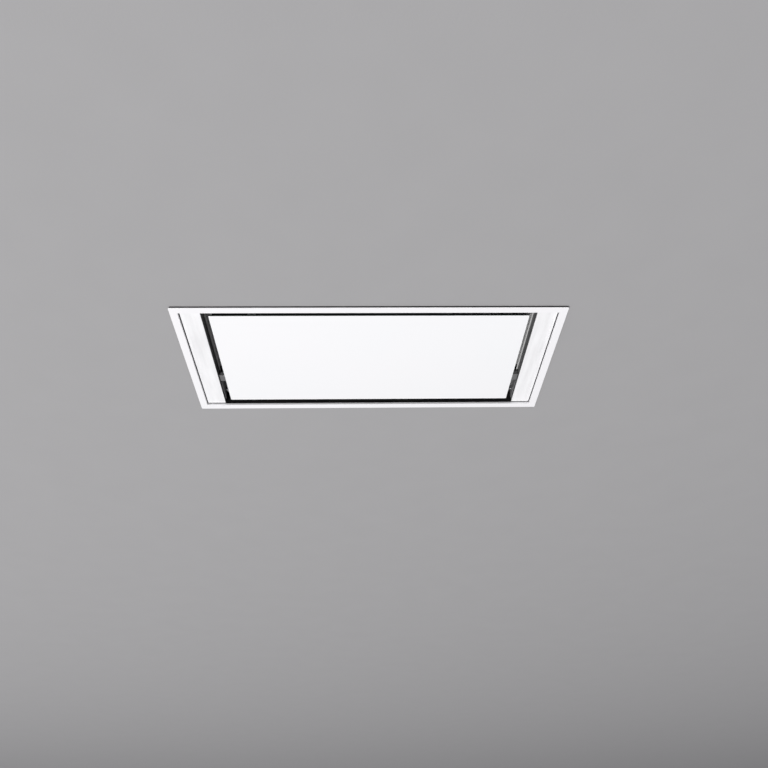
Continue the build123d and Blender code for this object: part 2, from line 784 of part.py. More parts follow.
# Hanger rails across the lid, with slots for the threaded rods that carry the hood
lid_top = box_top + box_sheet
rail_length = box_depth + 2 * rail_overhang
rail_x = box_half_x - rail_end_inset
for name, side in (("left", -1), ("right", 1)):
    with BuildPart() as hanger_rail:
        with BuildSketch(Plane.XY.offset(lid_top)):
            with Locations((side * rail_x, 0)):
                Rectangle(rail_width, rail_length)
        extrude(amount=rail_height)
        fillet(hanger_rail.faces().sort_by(Axis.Z)[-1].edges().filter_by(Axis.Y), 2 * rail_sheet)
        with BuildSketch(Plane.XZ.offset(-rail_length / 2)):
            with Locations((side * rail_x, lid_top + (rail_height - rail_sheet) / 2)):
                Rectangle(rail_width - 2 * rail_sheet, rail_height - rail_sheet)
        extrude(amount=rail_length, mode=Mode.SUBTRACT)
        with BuildSketch(Plane.XY.offset(lid_top + rail_height)):
            with Locations((side * rail_x, 0)):
                with GridLocations(0, rail_length - rail_overhang, 1, 2):
                    SlotOverall(hanger_slot_length, 2 * hanger_slot_radius)
        extrude(amount=-rail_height, mode=Mode.SUBTRACT)
    write(hanger_rail, f"hanger_rail_{name}")

# Blower scroll: a sheet wound round the impeller on four quarter arcs that grow by one step each,
# their centres on the corners of a square, then a straight run to the mouth and a rolled tongue
blower_axis = Axis((blower_x, blower_y, 0), (0, 0, 1))
blower_section = Plane(origin=(blower_x, blower_y, 0), x_dir=(1, 0, 0), z_dir=(0, -1, 0))
with BuildLine() as scroll_line:
    first_arc = CenterArc(
        (blower_x + half_step, blower_y + half_step),
        scroll_first_radius,
        -scroll_tongue_angle,
        scroll_tongue_angle,
    )
    CenterArc((blower_x - half_step, blower_y + half_step), scroll_first_radius + scroll_step, 0, 90)
    CenterArc((blower_x - half_step, blower_y - half_step), scroll_first_radius + 2 * scroll_step, 90, 90)
    last_arc = CenterArc((blower_x + half_step, blower_y - half_step), scroll_last_radius, 180, 90)
    Line(last_arc @ 1, (mouth_x, mouth_outer_y))
    tongue = JernArc(first_arc @ 0, (first_arc % 0) * -1, scroll_tongue_radius, 90 + scroll_tongue_angle)
    Line(tongue @ 1, (mouth_x, mouth_inner_y))

with BuildPart() as scroll_wall:
    with BuildSketch(Plane.XY.offset(scroll_bottom + scroll_sheet)):
        with BuildLine():
            add(scroll_line.line)
        trace(line_width=scroll_sheet)
    extrude(amount=scroll_height - 2 * scroll_sheet)
write(scroll_wall, "scroll_wall")

with BuildSketch() as scroll_outline:
    with BuildLine():
        add(scroll_line.line)
        Line((mouth_x, mouth_outer_y), (mouth_x, mouth_inner_y))
    make_face()
    offset(amount=scroll_flange)
    with Locations((mouth_x + scroll_last_radius, blower_y)):
        Rectangle(2 * scroll_last_radius, 4 * scroll_last_radius, mode=Mode.SUBTRACT)

# The plates lap over the scroll's edges; the bottom one is drawn into a bell mouth that leads the
# air into the impeller's eye, and the top one carries the motor
with BuildPart() as scroll_bottom_plate:
    with BuildSketch(Plane.XY.offset(scroll_bottom)):
        add(scroll_outline.sketch)
        with Locations((blower_x, blower_y)):
            Circle(inlet_radius + inlet_bell_radius, mode=Mode.SUBTRACT)
    extrude(amount=scroll_sheet)
    with BuildSketch(blower_section):
        with BuildLine():
            FilletPolyline(
                (inlet_radius + 2 * inlet_bell_radius, scroll_bottom + scroll_sheet / 2),
                (inlet_radius, scroll_bottom + scroll_sheet / 2),
                (inlet_radius, scroll_bottom + inlet_depth),
                radius=inlet_bell_radius,
            )
        trace(line_width=scroll_sheet)
    revolve(axis=blower_axis)
write(scroll_bottom_plate, "scroll_bottom_plate")

with BuildPart() as scroll_top_plate:
    with BuildSketch(Plane.XY.offset(scroll_top - scroll_sheet)):
        add(scroll_outline.sketch)
        with Locations((blower_x, blower_y)):
            Circle(shaft_radius + motor_flange, mode=Mode.SUBTRACT)
    extrude(amount=scroll_sheet)
write(scroll_top_plate, "scroll_top_plate")

# Impeller: forward-curved blades between a ring below and a dished back plate above, whose dish
# leaves room for the motor
with BuildSketch() as blade_section:
    with BuildLine():
        SagittaArc(
            (impeller_bore_radius, 0),
            (
                (impeller_radius - blade_sheet) * math.cos(math.radians(blade_lead_angle)),
                (impeller_radius - blade_sheet) * math.sin(math.radians(blade_lead_angle)),
            ),
            -blade_bow,
        )
    trace(line_width=blade_sheet)

with BuildPart() as impeller:
    with BuildSketch(blower_section):
        with BuildLine():
            FilletPolyline(
                (shaft_radius + impeller_sheet, dish_floor + impeller_sheet / 2),
                (dish_radius - impeller_sheet / 2, dish_floor + impeller_sheet / 2),
                (dish_radius - impeller_sheet / 2, impeller_top - impeller_sheet / 2),
                (impeller_radius, impeller_top - impeller_sheet / 2),
                radius=2 * impeller_sheet,
            )
        trace(line_width=impeller_sheet)
        with Locations(((hub_radius + shaft_radius + running_clearance) / 2, dish_floor + hub_height / 2)):
            Rectangle(hub_radius - shaft_radius - running_clearance, hub_height)
        with Locations(((impeller_radius + impeller_bore_radius) / 2, impeller_bottom + impeller_sheet / 2)):
            Rectangle(impeller_radius - impeller_bore_radius, impeller_sheet)
    revolve(axis=blower_axis)
    with BuildSketch(Plane.XY.offset(impeller_bottom + impeller_sheet / 2)):
        with Locations((blower_x, blower_y)):
            with PolarLocations(0, blade_count):
                add(blade_section.sketch)
    extrude(amount=impeller_top - impeller_bottom - impeller_sheet)
write(impeller, "impeller")

# Motor: a ribbed can under the scroll's top plate, hanging into the impeller's dish
motor_top = scroll_top - scroll_sheet
with BuildPart() as blower_motor:
    with BuildSketch(Plane.XY.offset(motor_top)):
        with Locations((blower_x, blower_y)):
            Circle(motor_flange_radius)
    extrude(amount=-motor_flange)
    with BuildSketch(Plane.XY.offset(motor_top)):
        with Locations((blower_x, blower_y)):
            Circle(motor_radius)
    extrude(amount=-motor_height)
    fillet(blower_motor.faces().sort_by(Axis.Z)[0].edges(), 2 * motor_flange)
    with BuildSketch(Plane.XY.offset(motor_top)):
        with Locations((blower_x, blower_y)):
            with PolarLocations(motor_radius, motor_fin_count):
                Rectangle(2 * motor_fin_depth, motor_fin_width)
    extrude(amount=-motor_height + 2 * motor_flange)
    with BuildSketch(Plane.XY.offset(motor_top)):
        with Locations((blower_x, blower_y)):
            Circle(shaft_radius)
    extrude(amount=-(motor_top - dish_floor))
write(blower_motor, "blower_motor")

with BuildPart() as blower_mounts:
    with BuildSketch(Plane.XY.offset(scroll_top)):
        with Locations((blower_x, blower_y)):
            with GridLocations(mount_spacing, mount_spacing, 2, 2):
                Circle(mount_radius)
    extrude(amount=box_top - scroll_top)
write(blower_mounts, "blower_mounts")

# Outlet duct: square at the scroll's mouth, round where it enters the collar
duct_end_x = box_half_x + duct_lap
collar_bore_radius = collar_radius - collar_sheet
mouth_width = mouth_inner_y - mouth_outer_y + scroll_sheet
with BuildPart() as outlet_duct:
    for wall, mode in ((0, Mode.ADD), (duct_sheet, Mode.SUBTRACT)):
        with BuildSketch(Plane.YZ.offset(mouth_x)):
            with Locations((mouth_y, (scroll_bottom + scroll_top) / 2)):
                RectangleRounded(
                    mouth_width - 2 * wall,
                    scroll_height - 2 * wall,
                    scroll_tongue_radius - wall,
                )
        with BuildSketch(Plane.YZ.offset(duct_end_x)):
            with Locations((collar_y, collar_z)):
                Circle(collar_bore_radius - face_clearance - wall)
        loft(mode=mode)
write(outlet_duct, "outlet_duct")

# Outlet collar: a round spigot on the right end that takes a 150 mm duct
with BuildPart() as outlet_collar:
    with BuildSketch(Plane.YZ.offset(box_half_x)):
        with Locations((collar_y, collar_z)):
            Circle(collar_radius)
    extrude(amount=collar_reach)
    with BuildSketch(Plane.YZ.offset(box_half_x)):
        with Locations((collar_y, collar_z)):
            Circle(collar_radius + collar_flange_width)
    extrude(amount=collar_sheet)
    with BuildSketch(Plane.YZ.offset(box_half_x)):
        with Locations((collar_y, collar_z)):
            Circle(collar_bore_radius)
    extrude(amount=collar_reach, mode=Mode.SUBTRACT)
    with BuildSketch(Plane.XY.offset(collar_z)):
        with Locations((box_half_x + damper_offset, collar_y)):
            Circle(damper_pin_radius + running_clearance)
    extrude(amount=collar_radius + collar_sheet, both=True, mode=Mode.SUBTRACT)
write(outlet_collar, "outlet_collar")

# Back-draught damper: two half discs on one upright pin; the air swings them out of its way
damper_x = box_half_x + damper_offset
with BuildPart() as damper_pin:
    with BuildSketch(Plane.XY.offset(collar_z)):
        with Locations((damper_x, collar_y)):
            Circle(damper_pin_radius)
    extrude(amount=collar_radius - face_clearance, both=True)
write(damper_pin, "damper_pin")

for name, side, knuckle_spacing in (("near", -1, 80), ("far", 1, 40)):
    with BuildPart() as damper_flap:
        with BuildSketch(Plane.YZ.offset(damper_x - flap_setback - flap_sheet)):
            with Locations((collar_y, collar_z)):
                Circle(collar_bore_radius - flap_gap)
            with Locations((collar_y - side * (collar_radius - flap_straight_edge), collar_z)):
                Rectangle(2 * collar_radius, 2 * collar_radius, mode=Mode.SUBTRACT)
            with Locations((collar_y + side * flap_straight_edge / 2, collar_z)):
                with GridLocations(0, knuckle_spacing, 1, 2):
                    Rectangle(flap_straight_edge + flap_sheet, flap_knuckle_length)
        extrude(amount=flap_sheet)
        for end in (-1, 1):
            knuckle_z = collar_z + end * knuckle_spacing / 2
            with BuildSketch(Plane.XY.offset(knuckle_z)):
                with Locations((damper_x, collar_y)):
                    Circle(damper_pin_radius + knuckle_wall)
            extrude(amount=flap_knuckle_length / 2, both=True)
        with BuildSketch(Plane.XY.offset(collar_z)):
            with Locations((damper_x, collar_y)):
                Circle(damper_pin_radius + running_clearance)
        extrude(amount=collar_radius, both=True, mode=Mode.SUBTRACT)
    write(damper_flap, f"damper_flap_{name}")

# Control box on the left end of the suction box, its lid facing outwards, its gland at the rear
control_inner_x = -box_half_x
control_outer_x = control_inner_x - control_depth
control_middle_z = control_bottom + control_height / 2
gland_x = control_inner_x - control_depth / 2
with BuildPart() as control_box:
    with BuildSketch(Plane.YZ.offset(control_inner_x)):
        with Locations((0, control_middle_z)):
            RectangleRounded(control_length, control_height, control_lid_lap / 2)
    extrude(amount=-control_depth)
    offset(
        amount=-control_sheet,
        openings=control_box.faces().sort_by(Axis.X)[0],
        kind=Kind.INTERSECTION,
    )
    with BuildSketch(Plane.XZ.offset(-control_length / 2)):
        with Locations((gland_x, control_middle_z)):
            Circle(gland_radius + running_clearance)
    extrude(amount=control_lid_lap, mode=Mode.SUBTRACT)
write(control_box, "control_box")

with BuildPart() as control_box_lid:
    lid_growth = 2 * (control_sheet + face_clearance)
    with BuildSketch(Plane.YZ.offset(control_outer_x - control_sheet)):
        with Locations((0, control_middle_z)):
            RectangleRounded(
                control_length + lid_growth,
                control_height + lid_growth,
                (control_lid_lap + lid_growth) / 2,
            )
    extrude(amount=control_lid_lap + control_sheet)
    with BuildSketch(Plane.YZ.offset(control_outer_x)):
        with Locations((0, control_middle_z)):
            RectangleRounded(
                control_length + 2 * face_clearance,
                control_height + 2 * face_clearance,
                control_lid_lap / 2 + face_clearance,
            )
    extrude(amount=control_lid_lap, mode=Mode.SUBTRACT)
write(control_box_lid, "control_box_lid")

with BuildPart() as cable_gland:
    gland_seat_y = control_length / 2
    with BuildSketch(Plane.XZ.offset(-gland_seat_y)):
        with Locations((gland_x, control_middle_z)):
            RegularPolygon(gland_nut_radius, 6)
    extrude(amount=-gland_nut_length)
    with BuildSketch(Plane.XZ.offset(-(gland_seat_y - 2 * gland_nut_length))):
        with Locations((gland_x, control_middle_z)):
            Circle(gland_radius)
    extrude(amount=-(2 * gland_nut_length + gland_length))
    fillet(cable_gland.faces().sort_by(Axis.Y)[-1].edges(), gland_radius - gland_bore_radius - 1)
    with BuildSketch(Plane.XZ.offset(-(gland_seat_y - 2 * gland_nut_length))):
        with Locations((gland_x, control_middle_z)):
            Circle(gland_bore_radius)
    extrude(amount=-(2 * gland_nut_length + gland_length), mode=Mode.SUBTRACT)
write(cable_gland, "cable_gland")
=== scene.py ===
"""The looks of a ceiling range hood: its finishes, its small fasteners, the light and the camera."""
import math

import bpy
import numpy as np
from mathutils import Matrix, Vector


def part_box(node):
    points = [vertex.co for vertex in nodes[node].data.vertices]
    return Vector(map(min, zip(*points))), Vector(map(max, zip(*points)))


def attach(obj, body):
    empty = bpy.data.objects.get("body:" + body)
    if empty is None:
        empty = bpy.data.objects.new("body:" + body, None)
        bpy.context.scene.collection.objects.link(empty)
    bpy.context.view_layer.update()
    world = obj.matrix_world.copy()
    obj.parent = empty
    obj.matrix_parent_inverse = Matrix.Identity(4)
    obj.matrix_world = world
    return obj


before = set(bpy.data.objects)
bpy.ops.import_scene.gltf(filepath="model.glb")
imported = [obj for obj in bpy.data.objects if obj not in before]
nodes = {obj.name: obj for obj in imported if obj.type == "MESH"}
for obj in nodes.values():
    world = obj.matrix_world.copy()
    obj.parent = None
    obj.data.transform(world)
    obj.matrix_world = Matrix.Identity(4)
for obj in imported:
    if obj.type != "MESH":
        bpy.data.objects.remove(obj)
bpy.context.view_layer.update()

# The camera stands below the hood and in front of its near edge, a little left of its middle, and
# looks up at it. Its place, turn and focal length were fitted to the edges of the white frame.
camera_place = (-0.0203, -1.9910, -1.4270)
camera_pitch = math.radians(33.96)
camera_yaw = math.radians(1.91)
camera_roll = math.radians(-1.336)
focal_length = 34.79
sensor_width = 36

forward = Vector(
    (
        math.sin(camera_yaw) * math.cos(camera_pitch),
        math.cos(camera_yaw) * math.cos(camera_pitch),
        math.sin(camera_pitch),
    )
)
level_right = Vector((math.cos(camera_yaw), -math.sin(camera_yaw), 0))
right = level_right * math.cos(camera_roll) + level_right.cross(forward) * math.sin(camera_roll)
above = right.cross(forward)
camera_data = bpy.data.cameras.new("camera")
camera_data.lens = focal_length
camera_data.sensor_width = sensor_width
camera = bpy.data.objects.new("camera", camera_data)
bpy.context.scene.collection.objects.link(camera)
camera.matrix_world = Matrix(
    (
        (right.x, above.x, -forward.x, camera_place[0]),
        (right.y, above.y, -forward.y, camera_place[1]),
        (right.z, above.z, -forward.z, camera_place[2]),
        (0, 0, 0, 1),
    )
)
bpy.context.scene.camera = camera
bpy.context.scene.view_settings.view_transform = "Standard"


# The ceiling is a grey-painted board with a cut-out that the chassis goes up through; the frame's
# flange covers the cut-out's edge. Its upper face is the pale floor of the views from above.
class Wire:
    """One socket of a material, with arithmetic: sums and products of wires add Math nodes."""

    def __init__(self, tree, socket=None):
        self.tree = tree
        self.socket = socket

    def node(self, kind, settings=(), inputs=(), output=0):
        """Adds a node with its settings, then the values or wires of its sockets."""
        made = self.tree.nodes.new(kind)
        for name, value in dict(settings).items():
            setattr(made, name, value)
        for key, value in dict(inputs).items():
            if isinstance(value, Wire):
                self.tree.links.new(value.socket, made.inputs[key])
            else:
                made.inputs[key].default_value = value
        return Wire(self.tree, made.outputs[output] if made.outputs else None)

    def maths(self, operation, first, second):
        return self.node("ShaderNodeMath", {"operation": operation}, {0: first, 1: second})

    def __add__(self, other):
        return self.maths("ADD", self, other)

    def __radd__(self, other):
        return self.maths("ADD", other, self)

    def __mul__(self, other):
        return self.maths("MULTIPLY", self, other)

    def __rmul__(self, other):
        return self.maths("MULTIPLY", other, self)

    def places(self, scale=(1, 1, 1)):
        """The piece's own coordinates in metres, times a scale for each axis."""
        place = self.node("ShaderNodeTexCoord", output="Object")
        return self.node("ShaderNodeMapping", inputs={"Vector": place, "Scale": scale})

    def noise(self, scale, detail=2.0, stretch=(1, 1, 1)):
        """Soft noise from 0 to 1, with scale features to the metre."""
        return self.node(
            "ShaderNodeTexNoise",
            inputs={"Vector": self.places(stretch), "Scale": scale, "Detail": detail},
        )

    def cells(self, scale):
        """The distance from the middles of random cells, with scale of them to the metre."""
        return self.node("ShaderNodeTexVoronoi", inputs={"Vector": self.places(), "Scale": scale})

    def steps(self, start, end):
        """This wire made steep: 0 below start and 1 above end."""
        return self.node(
            "ShaderNodeMapRange",
            inputs={"Value": self, "From Min": start, "From Max": end},
        )

    def mixed(self, low, high):
        """A colour from low, where this wire is 0, to high, where it is 1."""
        ends = [end if isinstance(end, Wire) else (*end, 1) for end in (low, high)]
        return self.node(
            "ShaderNodeMix",
            {"data_type": "RGBA"},
            {0: self, 6: ends[0], 7: ends[1]},
            output=2,
        )

    def relief(self, strength, distance):
        """This wire as a bump of the given distance in metres."""
        return self.node(
            "ShaderNodeBump",
            inputs={"Height": self, "Strength": strength, "Distance": distance},
        )


def new_finish(name, **constants):
    """A Principled material with its constant values; gives the material and its shader's wire."""
    material = bpy.data.materials.new(name)
    material.use_nodes = True
    tree = material.node_tree
    tree.nodes.clear()
    settings = {key.replace("_", " "): value for key, value in constants.items()}
    shader = Wire(tree).node("ShaderNodeBsdfPrincipled", inputs=settings)
    shader.node("ShaderNodeOutputMaterial", inputs={"Surface": shader})
    return material, shader


def feed(shader, **wires):
    """Links wires to the shader's sockets; a name's underscores stand for spaces."""
    for name, wire in wires.items():
        shader.tree.links.new(wire.socket, shader.socket.node.inputs[name.replace("_", " ")])


def dress(material, *names):
    """Gives CAD nodes a material."""
    for name in names:
        nodes[name].data.materials.clear()
        nodes[name].data.materials.append(material)


def new_piece(name, points, faces, material, smooth=True):
    """An object from an array of points and a list of faces, at the origin."""
    mesh = bpy.data.meshes.new(name)
    mesh.from_pydata(np.asarray(points).tolist(), [], faces)
    mesh.polygons.foreach_set("use_smooth", [smooth] * len(mesh.polygons))
    mesh.materials.append(material)
    piece = bpy.data.objects.new(name, mesh)
    bpy.context.scene.collection.objects.link(piece)
    return piece


ceiling_reach = 40.0
seal_gap = 0.0002
ceiling_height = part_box("ceiling_seal")[1].z + seal_gap
cut_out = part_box("filter_deck")[1]
cut_out_gap = 0.0005
board_gap = 0.0002
ring_corners = np.array(((-1, -1), (1, -1), (1, 1), (-1, 1)))
ring_sizes = np.array(
    ((cut_out.x + cut_out_gap, cut_out.y + cut_out_gap), (ceiling_reach, ceiling_reach))
)
ring_points = (ring_sizes[:, None, :] * ring_corners[None, :, :]).reshape(-1, 2)
for name, height, shade, light in (
    ("ceiling", ceiling_height, (0.345, 0.34, 0.345), (0.36, 0.355, 0.36)),
    ("upper_floor", ceiling_height + board_gap, (0.66, 0.66, 0.66), (0.69, 0.69, 0.69)),
):
    plaster, shader = new_finish(f"{name}_plaster", Roughness=0.9)
    feed(
        shader,
        Base_Color=shader.noise(6).mixed(shade, light),
        Normal=shader.noise(160, 3).relief(0.25, 0.001),
    )
    face = new_piece(
        name,
        np.column_stack((ring_points, np.full(len(ring_points), height))),
        [(j, 4 + j, 4 + (j + 1) % 4, (j + 1) % 4) for j in range(4)],
        plaster,
        smooth=False,
    )

# The light: a large soft window far below and to the left of the hood, another far above and to
# the left for the views from above, a weaker one on the right there, and a sky all round that is
# dim under the ceiling and pale over it.
world = bpy.data.worlds.new("world")
world.use_nodes = True
bpy.context.scene.world = world
sky_colour = (0.82, 0.82, 0.85, 1)
sky_below = 0.33
sky_above = 0.74
horizon_start = -0.08
horizon_end = -0.04
background = world.node_tree.nodes["Background"]
background.inputs["Color"].default_value = sky_colour
direction = Wire(world.node_tree).node("ShaderNodeTexCoord", output="Generated")
upward = direction.node("ShaderNodeSeparateXYZ", inputs={0: direction}, output=2)
strength = sky_below + (sky_above - sky_below) * upward.steps(horizon_start, horizon_end)
world.node_tree.links.new(strength.socket, background.inputs["Strength"])
for name, place, size, power in (
    ("window_below", (-7.2, -5.0, -17.5), 5.5, 3540),
    ("window_above", (-7.2, -9.2, 13.2), 5.2, 1650),
    ("window_right", (12.8, 5.2, 8.8), 5.2, 500),
):
    lamp_data = bpy.data.lights.new(name, "AREA")
    lamp_data.size = size
    lamp_data.energy = power
    lamp = bpy.data.objects.new(name, lamp_data)
    bpy.context.scene.collection.objects.link(lamp)
    lamp.location = place
    lamp.rotation_mode = "QUATERNION"
    lamp.rotation_quaternion = (-Vector(place)).to_track_quat("-Z", "Y")

# The trim frame is folded from steel sheet and powder coated white, with the fine orange peel
# that such a coat has and a touch of grey where cloths have worn it.
coat_light = (0.915, 0.905, 0.92)
coat_shade = (0.885, 0.875, 0.89)
white_coat, shader = new_finish("white_powder_coat", Coat_Weight=0.15, Coat_Roughness=0.3)
feed(
    shader,
    Base_Color=shader.noise(9, 3).mixed(coat_shade, coat_light),
    Roughness=0.34 + 0.12 * shader.noise(30, 3),
    Normal=shader.noise(1100, 1).relief(0.12, 0.0004),
)
dress(white_coat, "trim_frame")

# The seal between the frame's flange and the ceiling is black closed-cell foam. It was cut from
# sheet and glued into the hollow of the flange.
foam, shader = new_finish("closed_cell_foam", Roughness=0.95)
pores = shader.cells(900)
feed(
    shader,
    Base_Color=pores.mixed((0.007, 0.007, 0.007), (0.022, 0.022, 0.022)),
    Normal=pores.relief(0.4, 0.0005),
)
dress(foam, "ceiling_seal")

# The centre panel's glass is painted white on its back: polished and even below. Its ground edges have
# the green of float glass, darkened to near black as painted shade, so that they read as the dark of
# the slot.
paint_light = (0.935, 0.925, 0.935)
paint_cool = (0.92, 0.925, 0.935)
edge_green_painted_shade = (0.016, 0.024, 0.021)
white_glass, shader = new_finish("white_glass", IOR=1.5, Coat_Weight=0.4, Coat_Roughness=0.06)
facing = shader.node("ShaderNodeTexCoord", output="Normal")
upright = shader.node("ShaderNodeSeparateXYZ", inputs={0: facing}, output=2)
level = shader.maths("ABSOLUTE", upright, 0.0).steps(0.85, 0.97)
feed(
    shader,
    Base_Color=level.mixed(edge_green_painted_shade, shader.noise(3.5, 1).mixed(paint_light, paint_cool)),
    Roughness=0.16 + 0.06 * shader.noise(14, 3),
    Normal=shader.noise(7, 1).relief(0.02, 0.001),
)
dress(white_glass, "glass_panel")

# A bead of clear-grey silicone runs all round the tray and bonds it to the glass. It was laid by
# hand, so its width wanders a little.
silicone, shader = new_finish("silicone", Specular_IOR_Level=0.6)
feed(
    shader,
    Base_Color=shader.noise(20, 3).mixed((0.16, 0.165, 0.17), (0.24, 0.245, 0.25)),
    Roughness=0.3 + 0.15 * shader.noise(90, 2),
    Normal=shader.noise(140, 2).relief(0.3, 0.0008),
)


def hand_laid_bead(name, half_x, half_y, corner, base_z, radius, material, seed):
    """A half-round bead along a rounded rectangle, standing on the level base_z.

    Point (i, j) = c_i + r_i (cos(a_j) n_i, sin(a_j)), where c_i runs round the rectangle, n_i is
    the outward normal there and a_j goes from 0 to pi. r_i is the radius times
    1 + 0.12 sin(5 w_i + seed) + 0.08 sin(23 w_i + 2 seed), with w_i from 0 to 2 pi on the way round.
    """
    point_gap = 0.008
    turn = np.linspace(0, np.pi / 2, 7)
    path = []
    for quarter, (side_x, side_y) in enumerate(((1, 1), (-1, 1), (-1, -1), (1, -1))):
        angle = turn + quarter * np.pi / 2
        centre = np.array((side_x * (half_x - corner), side_y * (half_y - corner)))
        normal = np.column_stack((np.cos(angle), np.sin(angle)))
        path.append(np.hstack((centre + corner * normal, normal)))
    corners = np.vstack(path)
    following = np.roll(corners, -1, axis=0)
    rows = []
    for start, end in zip(corners, following):
        count = max(1, int(np.linalg.norm(end[:2] - start[:2]) / point_gap))
        share = np.arange(count)[:, None] / count
        rows.append(start + share * (end - start))
    line = np.vstack(rows)
    way = np.linspace(0, 2 * np.pi, len(line), endpoint=False)
    swell = radius * (1 + 0.12 * np.sin(5 * way + seed) + 0.08 * np.sin(23 * way + 2 * seed))
    arc = np.linspace(0, np.pi, 9)
    out = swell[:, None] * np.cos(arc)[None, :]
    up = swell[:, None] * np.sin(arc)[None, :]
    points = np.stack(
        (
            line[:, None, 0] + out * line[:, None, 2],
            line[:, None, 1] + out * line[:, None, 3],
            base_z + up,
        ),
        axis=-1,
    ).reshape(-1, 3)
    size = len(arc)
    count = len(line)
    faces = [
        (i * size + j, (i + 1) % count * size + j, (i + 1) % count * size + j + 1, i * size + j + 1)
        for i in range(count)
        for j in range(size - 1)
    ]
    return new_piece(name, points, faces, material)


glass_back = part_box("glass_panel")[1].z
tray_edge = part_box("panel_tray")[1]
bead_gap = 0.0012
tray_bead = hand_laid_bead(
    "tray_bead",
    tray_edge.x + bead_gap,
    tray_edge.y + bead_gap,
    corner=0.004,
    base_z=glass_back,
    radius=0.002,
    material=silicone,
    seed=1.0,
)
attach(tray_bead, "centre_panel")

# The covers of the two light boxes are sheets of opal acrylic with a satin face. The faint bright and
# dark streaks that run along them are painted reflections.
opal_bright_reflection = (0.91, 0.905, 0.915)
opal_dark_reflection = (0.77, 0.765, 0.775)
opal, shader = new_finish("opal_acrylic", IOR=1.49)
feed(
    shader,
    Base_Color=shader.noise(5, 3, stretch=(9, 1, 1)).steps(0.2, 0.6).mixed(opal_dark_reflection, opal_bright_reflection),
    Roughness=0.30 + 0.12 * shader.noise(40, 2),
    Normal=shader.noise(900, 1).relief(0.05, 0.0003),
)
dress(opal, "light_diffuser_left", "light_diffuser_right")

# The LED boards are aluminium strips with a white mask over their copper. Each lies against the
# top of its light box, above the opal cover.
mask, shader = new_finish("white_mask", Roughness=0.4)
feed(
    shader,
    Base_Color=shader.noise(60, 3).mixed((0.82, 0.82, 0.79), (0.90, 0.90, 0.87)),
    Normal=shader.noise(900, 1).relief(0.05, 0.0003),
)
dress(mask, "led_strip_left", "led_strip_right")

# The lower chassis, the deck, the filter rails and the panel's tray are folded steel with a matt
# black coat, so that the slot round the panel looks like a shadow.
black_coat, shader = new_finish("black_powder_coat", Specular_IOR_Level=0.35)
feed(
    shader,
    Base_Color=shader.noise(12, 4).steps(0.45, 0.8).mixed((0.010, 0.010, 0.011), (0.024, 0.023, 0.022)),
    Roughness=0.52 + 0.15 * shader.noise(60, 2),
    Normal=shader.noise(1500, 1).relief(0.2, 0.0004),
)
dress(
    black_coat,
    "chassis_front",
    "chassis_rear",
    "chassis_left",
    "chassis_right",
    "filter_deck",
    "filter_rail_front",
    "filter_rail_rear",
    "panel_tray",
)

# The light boxes are folded from sheet with a dull grey primer. They are open below, where the
# opal covers close them, and reach up to the flange of the lower chassis.
primer, shader = new_finish("grey_primer", Specular_IOR_Level=0.3)
feed(
    shader,
    Base_Color=shader.noise(18, 4).mixed((0.10, 0.10, 0.103), (0.155, 0.153, 0.155)),
    Roughness=0.55 + 0.15 * shader.noise(70, 2),
    Normal=shader.noise(1200, 1).relief(0.15, 0.0004),
)
dress(primer, "light_box_left", "light_box_right")

# The air guides stand between the light boxes and the filters. They are bright coated sheet,
# satin enough to catch the light that falls in the slot.
satin_sheet, shader = new_finish("satin_sheet", Metallic=0.35)
drawn = shader.noise(60, 4, stretch=(1, 0.05, 1))
feed(
    shader,
    Base_Color=drawn.mixed((0.68, 0.675, 0.67), (0.82, 0.815, 0.81)),
    Roughness=0.34 + 0.18 * drawn,
    Normal=drawn.relief(0.08, 0.0003),
)
dress(satin_sheet, "air_guide_left", "air_guide_right")

# The two hinge arms and their brackets are pressed from steel sheet with a dull grey coat. The
# arms carry the centre panel and turn on pins in the brackets, which stand under the deck.
dark_steel, shader = new_finish("dull_steel", Metallic=0.2)
bloom = shader.noise(45, 4)
feed(
    shader,
    Base_Color=bloom.mixed((0.17, 0.17, 0.173), (0.26, 0.258, 0.26)),
    Roughness=0.42 + 0.2 * bloom,
    Normal=shader.noise(900, 2).relief(0.08, 0.0003),
)
dress(dark_steel, "hinge_arm_left", "hinge_arm_right", "hinge_bracket_left", "hinge_bracket_right")

# The clamp blocks join the hinge arms to the panel's tray. They are sintered steel, darker than
# the plated pieces round them.
sintered, shader = new_finish("sintered_steel", Metallic=0.4)
grit = shader.noise(500, 3)
feed(
    shader,
    Base_Color=grit.mixed((0.14, 0.14, 0.143), (0.26, 0.258, 0.26)),
    Roughness=0.40 + 0.2 * grit,
    Normal=grit.relief(0.15, 0.0003),
)
dress(sintered, "arm_blocks")

# Pins, screws, keepers and plungers are turned or stamped from steel, with a dull zinc plating
# that clouds where it is thick.
zinc, shader = new_finish("zinc_plating", Metallic=0.75)
cloud = shader.noise(55, 4)
feed(
    shader,
    Base_Color=cloud.mixed((0.36, 0.36, 0.37), (0.54, 0.54, 0.56)),
    Roughness=0.34 + 0.22 * cloud,
    Normal=shader.noise(700, 2).relief(0.08, 0.0003),
)
dress(
    zinc,
    "hinge_pins",
    "deck_screws",
    "catch_keepers",
    "catch_plunger_left",
    "catch_plunger_right",
    "damper_pin",
)

# The grease filters are stainless steel, brushed along the hood. Each frame is held together at
# its corners by four blind rivets.
stainless, shader = new_finish("brushed_stainless", Metallic=1.0)
grain = shader.noise(90, 4, stretch=(1, 24, 24))
feed(
    shader,
    Base_Color=grain.mixed((0.52, 0.515, 0.51), (0.68, 0.67, 0.66)),
    Roughness=0.24 + 0.20 * grain,
    Normal=grain.relief(0.10, 0.0003),
)


